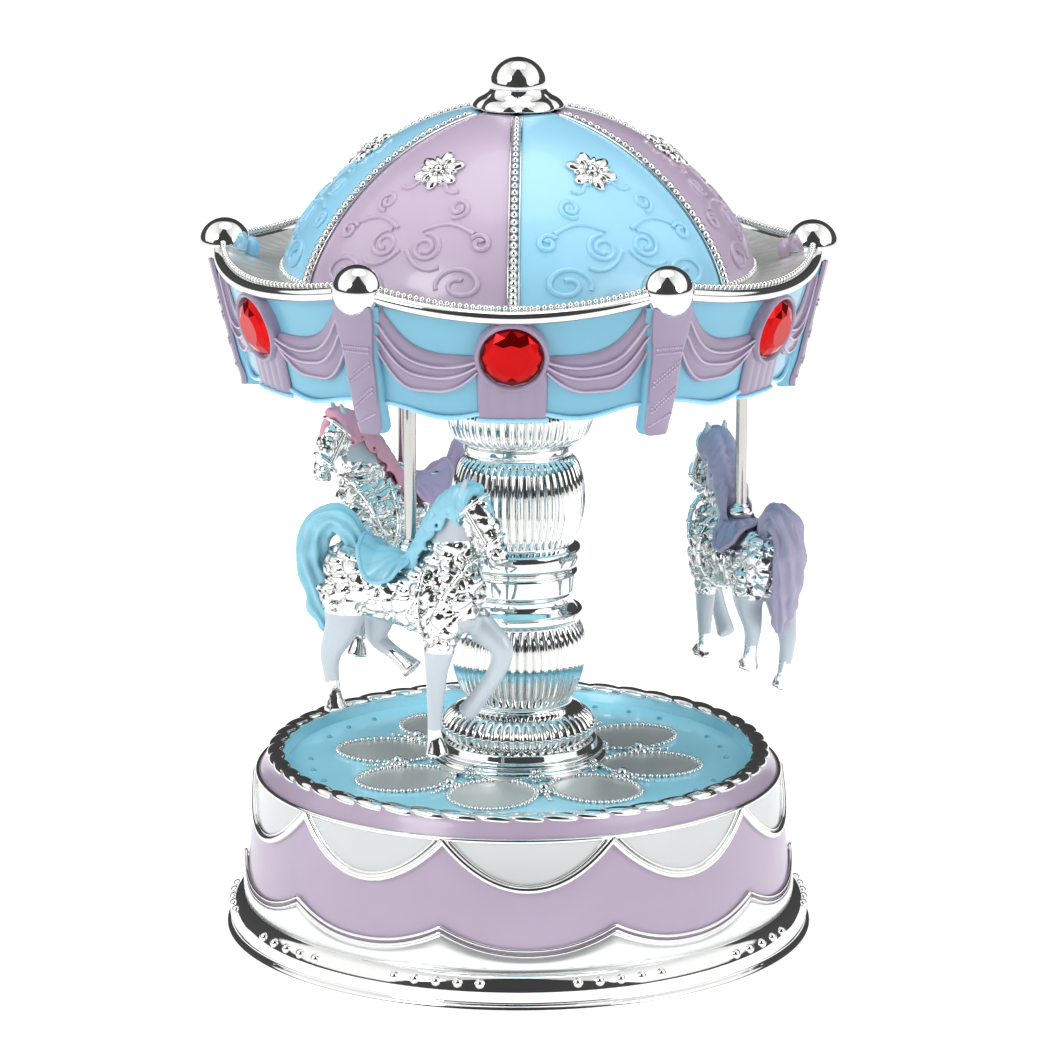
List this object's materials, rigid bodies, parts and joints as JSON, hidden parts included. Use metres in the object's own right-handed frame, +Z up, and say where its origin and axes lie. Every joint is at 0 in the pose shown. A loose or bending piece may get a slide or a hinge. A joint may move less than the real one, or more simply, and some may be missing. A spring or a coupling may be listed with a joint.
{
  "type": "wind-up carousel music box",
  "caption": "Wind-up carousel music box: horses on poles hang from a turning canopy with a domed roof, over a round base that holds a musical movement and its key.",
  "frame": {"origin": "middle of the foot, on the surface the box stands on", "axes": "+Z up along the column; -Y is the front, between the front and the front left horse"},
  "size_m": [0.1192, 0.114, 0.167],
  "materials": {
    "chrome": "bright plating",
    "lilac": "gloss lilac paint",
    "blue": "gloss pale blue paint",
    "red_stone": "faceted and polished",
    "horse_pearl": "pearl white with plated body",
    "inner_plastic": "matt",
    "steel": "satin",
    "brass": "satin",
    "nylon": "matt"
  },
  "bodies": {
    "base": {"bottom_cover": "inner_plastic", "cam_disc": "nylon", "column_capital": "chrome", "column_lower": "chrome", "column_plinth": "chrome", "column_upper": "chrome", "comb": "steel", "comb_screw_1": "steel", "comb_screw_2": "steel", "cover_screw_1": "steel", "cover_screw_2": "steel", "cover_screw_3": "steel", "deck_plate": "blue", "drum_shell": "lilac", "foot_ring": "chrome", "governor_frame": "steel", "movement_bed": "steel", "movement_screw_1": "steel", "movement_screw_2": "steel", "scalloped_crown": "lilac"},
    "carousel": {"canopy_ceiling": "blue", "canopy_hub": "nylon", "corner_ball_1": "chrome", "corner_ball_2": "chrome", "corner_ball_3": "chrome", "corner_ball_4": "chrome", "corner_ball_5": "chrome", "corner_ball_6": "chrome", "dome_shell": "blue", "drive_shaft": "steel", "eave_rim": "chrome", "finial": "chrome", "mainspring": "steel", "red_stone_1": "red_stone", "red_stone_2": "red_stone", "red_stone_3": "red_stone", "red_stone_4": "red_stone", "red_stone_5": "red_stone", "red_stone_6": "red_stone", "spring_barrel": "brass", "valance": "blue"},
    "key": {"winding_arbor": "steel", "winding_key": "steel"},
    "melody_cylinder": {"pinned_cylinder": "brass"},
    "second_wheel_set": {"second_wheel": "brass"},
    "governor": {"governor_fly": "steel"},
    "front_left_horse": {"cam_follower_1": "nylon", "horse_1": "horse_pearl", "pole_1": "steel", "pole_collar_1": "chrome"},
    "right_horse": {"cam_follower_2": "nylon", "horse_2": "horse_pearl", "pole_2": "steel", "pole_collar_2": "chrome"},
    "back_left_horse": {"cam_follower_3": "nylon", "horse_3": "horse_pearl", "pole_3": "steel", "pole_collar_3": "chrome"}
  },
  "joints": [
    {"name": "carousel_spin", "type": "hinge", "parent": "base", "child": "carousel", "pos_m": [0, 0, 0.12], "axis": [0, 0, 1], "continuous": true},
    {"name": "winding_key_turn", "type": "hinge", "parent": "base", "child": "key", "pos_m": [0, 0, 0.003], "axis": [0, 0, 1], "continuous": true},
    {"name": "cylinder_spin", "type": "hinge", "parent": "base", "child": "melody_cylinder", "pos_m": [0.0264, 0, 0.0196], "axis": [1, 0, 0], "continuous": true},
    {"name": "second_wheel_spin", "type": "hinge", "parent": "base", "child": "second_wheel_set", "pos_m": [0.037, 0.0075, 0.0196], "axis": [1, 0, 0], "continuous": true},
    {"name": "governor_spin", "type": "hinge", "parent": "base", "child": "governor", "pos_m": [0.039, 0.01375, 0.0196], "axis": [0, 0, 1], "continuous": true},
    {"name": "front_left_horse_slide", "type": "slide", "parent": "carousel", "child": "front_left_horse", "axis": [0, 0, 1], "range_m": [-0.0024, 0.0024]},
    {"name": "right_horse_slide", "type": "slide", "parent": "carousel", "child": "right_horse", "axis": [0, 0, 1], "range_m": [-0.00448, 0.00032]},
    {"name": "back_left_horse_slide", "type": "slide", "parent": "carousel", "child": "back_left_horse", "axis": [0, 0, 1], "range_m": [-0.00032, 0.00448]}
  ],
  "couplings": [
    {"joint": "cylinder_spin", "follows": "carousel_spin", "ratio": 4},
    {"joint": "second_wheel_spin", "follows": "carousel_spin", "ratio": -11},
    {"joint": "governor_spin", "follows": "carousel_spin", "ratio": 264}
  ]
}
